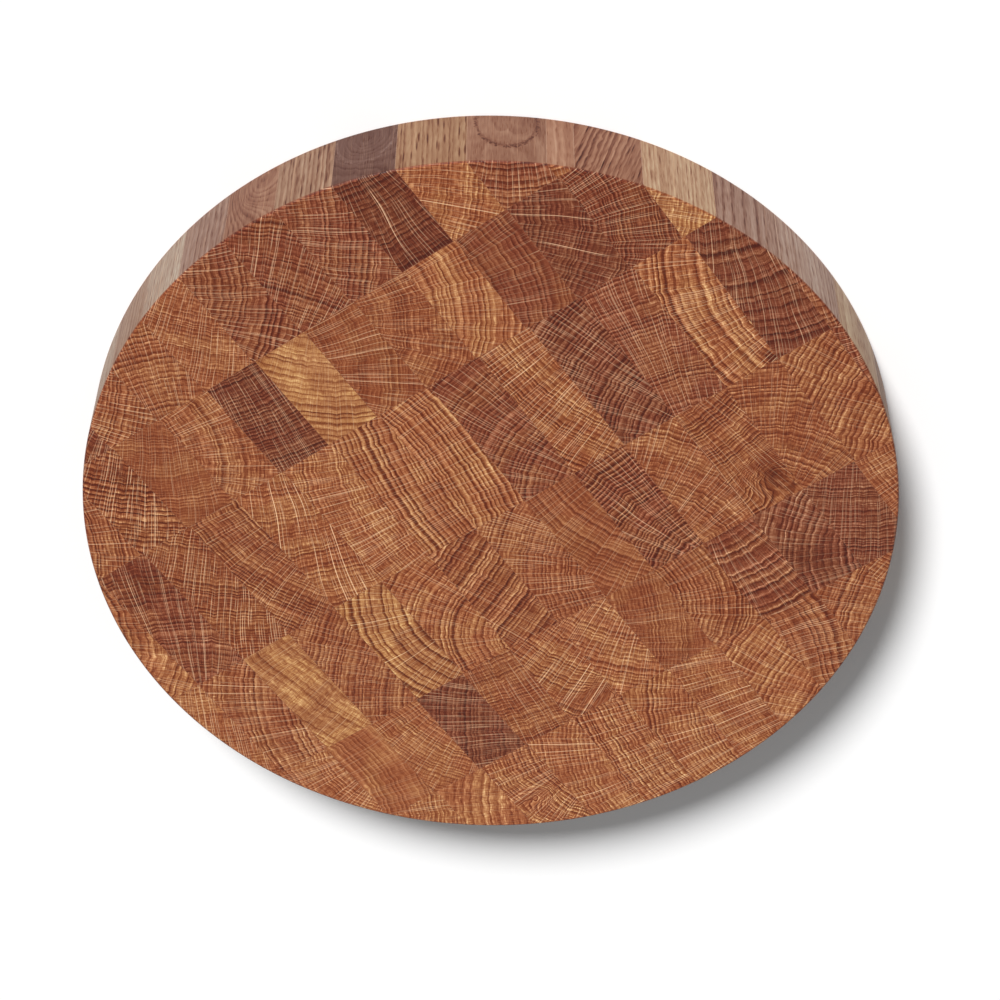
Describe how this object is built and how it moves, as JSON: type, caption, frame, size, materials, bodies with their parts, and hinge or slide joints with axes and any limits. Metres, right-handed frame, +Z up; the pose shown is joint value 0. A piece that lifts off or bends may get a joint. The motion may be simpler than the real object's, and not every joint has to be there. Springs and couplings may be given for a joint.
{
  "type": "round chopping block",
  "caption": "Thick round chopping block of oak blocks glued end grain up in straight rows, with an eased rim and a flat underside.",
  "frame": {"origin": "middle of the underside, on the surface that the board lies on", "axes": "+Z up out of the cutting face, X along the rows of blocks, +Y towards row 1"},
  "size_m": [0.36, 0.36, 0.04],
  "materials": {
    "honey_oak": "oiled end grain, satin",
    "amber_oak": "oiled end grain, satin",
    "tan_oak": "oiled end grain, satin",
    "russet_oak": "oiled end grain, satin",
    "dark_oak": "oiled end grain, satin",
    "wood_adhesive": "cured waterproof wood glue, satin"
  },
  "bodies": {
    "root": {"glue_between_blocks": "wood_adhesive", "glue_between_rows": "wood_adhesive", "row_1_block_04": "tan_oak", "row_1_block_05": "russet_oak", "row_1_block_06": "russet_oak", "row_1_block_07": "russet_oak", "row_1_block_08": "dark_oak", "row_1_end_blocks": "tan_oak", "row_2_block_03": "tan_oak", "row_2_block_04": "tan_oak", "row_2_block_05": "dark_oak", "row_2_block_06": "honey_oak", "row_2_block_07": "tan_oak", "row_2_block_08": "tan_oak", "row_2_block_09": "amber_oak", "row_2_block_10": "russet_oak", "row_2_block_11": "dark_oak", "row_2_end_blocks": "tan_oak", "row_3_block_03": "tan_oak", "row_3_block_04": "tan_oak", "row_3_block_05": "amber_oak", "row_3_block_06": "amber_oak", "row_3_block_07": "amber_oak", "row_3_block_08": "amber_oak", "row_3_block_09": "russet_oak", "row_3_block_10": "amber_oak", "row_3_block_11": "dark_oak", "row_3_block_12": "tan_oak", "row_3_block_13": "amber_oak", "row_3_end_blocks": "russet_oak", "row_4_block_03": "honey_oak", "row_4_block_04": "tan_oak", "row_4_block_05": "amber_oak", "row_4_block_06": "tan_oak", "row_4_block_07": "tan_oak", "row_4_block_08": "tan_oak", "row_4_block_09": "tan_oak", "row_4_block_10": "russet_oak", "row_4_block_11": "tan_oak", "row_4_block_12": "tan_oak", "row_4_block_13": "tan_oak", "row_4_end_blocks": "amber_oak", "row_5_block_03": "amber_oak", "row_5_block_04": "dark_oak", "row_5_block_05": "tan_oak", "row_5_block_06": "amber_oak", "row_5_block_07": "amber_oak", "row_5_block_08": "tan_oak", "row_5_block_09": "tan_oak", "row_5_block_10": "russet_oak", "row_5_block_11": "dark_oak", "row_5_end_blocks": "tan_oak", "row_6_block_04": "amber_oak", "row_6_block_05": "amber_oak", "row_6_block_06": "amber_oak", "row_6_block_07": "amber_oak", "row_6_block_08": "amber_oak", "row_6_end_blocks": "amber_oak"}
  },
  "joints": []
}
